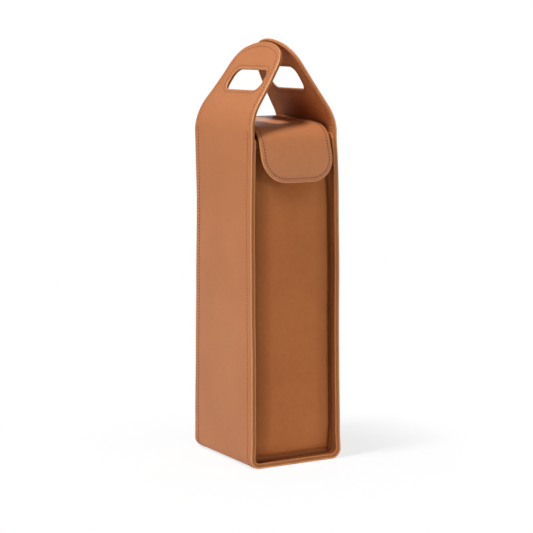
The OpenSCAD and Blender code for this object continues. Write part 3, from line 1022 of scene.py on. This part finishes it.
flapLayers = {"outer": (0.0, flap["thickness"], tanSet, "outer_leather"),
              "lining": (flap["liningDepth"], flap["liningThickness"], paintedSet, "lining_leather")}


def flapShell(name, layer, tongue, facing, edgeRound, nodes, panelParts=(), panelLines=()):
    # One layer of the flap on one side of its cut, with the parts of a panel that it is one with
    depth, thickness, materials, slot = flapLayers[layer]
    parts, lines = flapParts(depth, tongue)
    shell = leatherShell(name, [*panelParts, *parts], thickness, materials, facing, edgeRound,
                         cutAcross(depth), [*panelLines, *lines], "flap")
    fasten(shell, slot, nodes, **(tongueBlend if tongue else flapBlend))


flapShell("back_panel_leather", "outer", False, backOutside, 0.4, ("back_panel", "flap_outer"),
          backTray, backLines)
flapShell("flap_leather_front", "outer", True, upAndForward, 0.5, ("flap_outer", "tongue_outer"))

# Thread a few millimetres inside the flap's edge, down one side, round the end and up the other
sewn = flap["half"] - sewing["flap"]
around = np.concatenate([[[sewn, flap["split"]]], tongueCorner(sewing["flap"], 24)])
around = np.concatenate([around, mirrored(around)])
sideRows = [np.array([[k * sewn, sewing["flapStart"]], [k * sewn, flap["split"]]]) for k in (-1, 1)]
flapSurface = lambda u, v: flapPlace(v, u, 0)
fasten(stitchRows("flap_thread", flapSurface, backOutside, sideRows, darkThread, "flap"),
       "outer_leather", **flapBlend)
fasten(stitchRows("tongue_thread", flapSurface, upAndForward, [around], darkThread, "flap"),
       "outer_leather", **tongueBlend)


# Linings of the two panels: their outer columns and the heights of their rows
sheet = {"columns": [43.0, 45.9], "low": 4.2, "topSpan": 12.0, "spacing": (8.0, 2.0)}


def sheetParts(sign, depth):
    # Flat lining behind a panel, row by row from the base up to its top edge
    outer = np.array(sheet["columns"])
    columns = joined(-outer, flapColumns, outer)
    rows = spaced(sheet["low"], (panelTop - sheet["topSpan"], sheet["spacing"][0]),
                  (panelTop, sheet["spacing"][1]))
    x, z = np.meshgrid(columns, rows)
    return [grid(stacked(x, sign * (panelY - depth), z), x, z)]


# Linings of panels and flap: their seen faces look into the case
frontLining = leatherShell("front_lining_leather", sheetParts(-1, panel["liningDepth"]),
                           panel["liningThickness"], [liningLeather] * 3, downIn, 0.1)
fasten(frontLining, "lining_leather", ["front_lining"])
flapShell("back_lining_leather", "lining", False, downIn, 0.3, ("back_lining", "flap_lining"),
          sheetParts(1, flap["liningDepth"]))
flapShell("flap_lining_front", "lining", True, lambda rest: -upAndForward(rest), 0.2,
          ("flap_lining", "tongue_lining"))

# Binding folded over the front panel's top edge
binding = {"half": 41.0, "side": 7.4, "foldRadius": 2.45, "lower": 8.0, "thickness": 1.0, "leather": 0.9}
bindingPath = pathTable((-panelY - 0.1 - binding["thickness"], panelTop - binding["lower"]), 90,
                        [(binding["side"], 0), (math.pi * binding["foldRadius"], -180), (binding["side"], 0)])
folds = bindingPath["knots"]
along, across = np.meshgrid(spaced(0, (folds[1], 2), (folds[2], 0.8), (folds[3], 2)),
                            evenly(-binding["half"], binding["half"], 5), indexing="ij")
y, z = onPath(bindingPath, along)[:2]
bindingShell = leatherShell("front_binding_leather", [grid(stacked(across, y, z), across, along)],
                            binding["leather"], tanSet, upAndForward, 0.2)
fasten(bindingShell, "outer_leather", ["front_top_binding"])
print("panels, flap and linings made")

# CAD nodes that stay as they are
for node in ("base_insert", "snap_socket", "socket_washer", "snap_stud", "stud_washer"):
    material = boardMaterial if node == "base_insert" else metalMaterial
    obj = frame["nodes"][node]
    if not obj.material_slots:
        obj.data.materials.append(material)
    for slot in obj.material_slots:
        slot.material = material

floor = {"half": 6.0, "colour": (0.9, 0.9, 0.9), "fadeFrom": 0.08, "fadeTo": 0.25, "glow": 0.78}
mesh = bpy.data.meshes.new("floor")
s = floor["half"]
mesh.from_pydata([(-s, -s, 0), (s, -s, 0), (s, s, 0), (-s, s, 0)], [], [(0, 1, 2, 3)])
addObject("floor", mesh)


def floorMaterial():
    # The camera sees the floor fade from lit paint near the object to plain white
    material = bpy.data.materials.new("pale_floor")
    add = nodeMaker(material)
    away = add("VectorMath", {0: add("TexCoord", output="Object")}, "Value", operation="LENGTH")
    fade = add("MapRange", {"Value": away, "From Min": floor["fadeFrom"], "From Max": floor["fadeTo"],
                            "To Min": floor["glow"], "To Max": 1}, interpolation_type="SMOOTHSTEP")
    amount = add("Math", {0: add("LightPath", output="Is Camera Ray"), 1: fade}, operation="MULTIPLY")
    paint = add("BsdfPrincipled", {"Base Color": (*floor["colour"], 1), "Roughness": 0.9,
                                   "Specular IOR Level": 0.1})
    add("OutputMaterial", {0: add("MixShader", {0: amount, 1: paint, 2: add("Emission", {"Strength": 1})})})
    return material


mesh.materials.append(floorMaterial())

# White to the camera and through glass, weak in reflections, and weaker still as light
sky = {"light": 0.12, "reflected": 0.2}
world = bpy.data.worlds.new("studio")
bpy.context.scene.world = world
add = nodeMaker(world)
rays = {kind: add("LightPath", output=f"Is {kind} Ray") for kind in ("Camera", "Glossy", "Transmission")}
reflected = add("Math", {0: rays["Glossy"], 1: sky["reflected"]}, operation="MULTIPLY")
seen = add("Math", {0: rays["Camera"], 1: reflected}, operation="MAXIMUM")
seen = add("Math", {0: seen, 1: rays["Transmission"]}, operation="MAXIMUM")
strength = add("MapRange", {"Value": seen, "To Min": sky["light"], "To Max": 1.0})
add("OutputWorld", {"Surface": add("Background", {"Color": (1, 1, 1, 1), "Strength": strength})})

# Place in metres
lamps = {
    "left": {"at": (-1.9, -0.62, 0.3), "size": 1.0, "watts": 6.0},
    "high": {"at": (-0.95, -0.15, 2.4), "size": 0.3, "watts": 56},    # shines through the grip hole
    "low": {"at": (-0.75, -0.3, 0.08), "size": 0.4, "watts": 0.6},
    "front": {"at": (1.15, -1.9, 0.6), "size": 0.9, "watts": 12.8},
    "back": {"at": (1.5, 1.7, 1.0), "size": 1.2, "watts": 8},
}
lampsLookAt = Vector((0, 0, 0.2))
for name, lamp in lamps.items():
    data = bpy.data.lights.new(name, "AREA")
    data.energy = lamp["watts"]
    data.size = lamp["size"]
    obj = addObject(name, data)
    obj.location = lamp["at"]
    obj.rotation_euler = (lampsLookAt - obj.location).to_track_quat("-Z", "Y").to_euler()

# Place in metres, angles in degrees, lens and sensor in millimetres
camera = {"at": (-0.8608, -1.5427, 0.4284), "azimuth": 29.17, "down": 7.6, "roll": -0.298, "lens": 118.27,
          "sensor": 36}
azimuth, down, roll = (math.radians(camera[key]) for key in ("azimuth", "down", "roll"))
data = bpy.data.cameras.new("camera")
data.lens = camera["lens"]
data.sensor_width = camera["sensor"]
cameraObject = addObject("camera", data)
cameraObject.matrix_world = (Matrix.Translation(camera["at"]) @ Matrix.Rotation(-azimuth, 4, "Z")
                             @ Matrix.Rotation(math.pi / 2 - down, 4, "X") @ Matrix.Rotation(roll, 4, "Z"))
bpy.context.scene.camera = cameraObject
bpy.context.scene.view_settings.view_transform = "Standard"
print("floor, lamps and camera made")
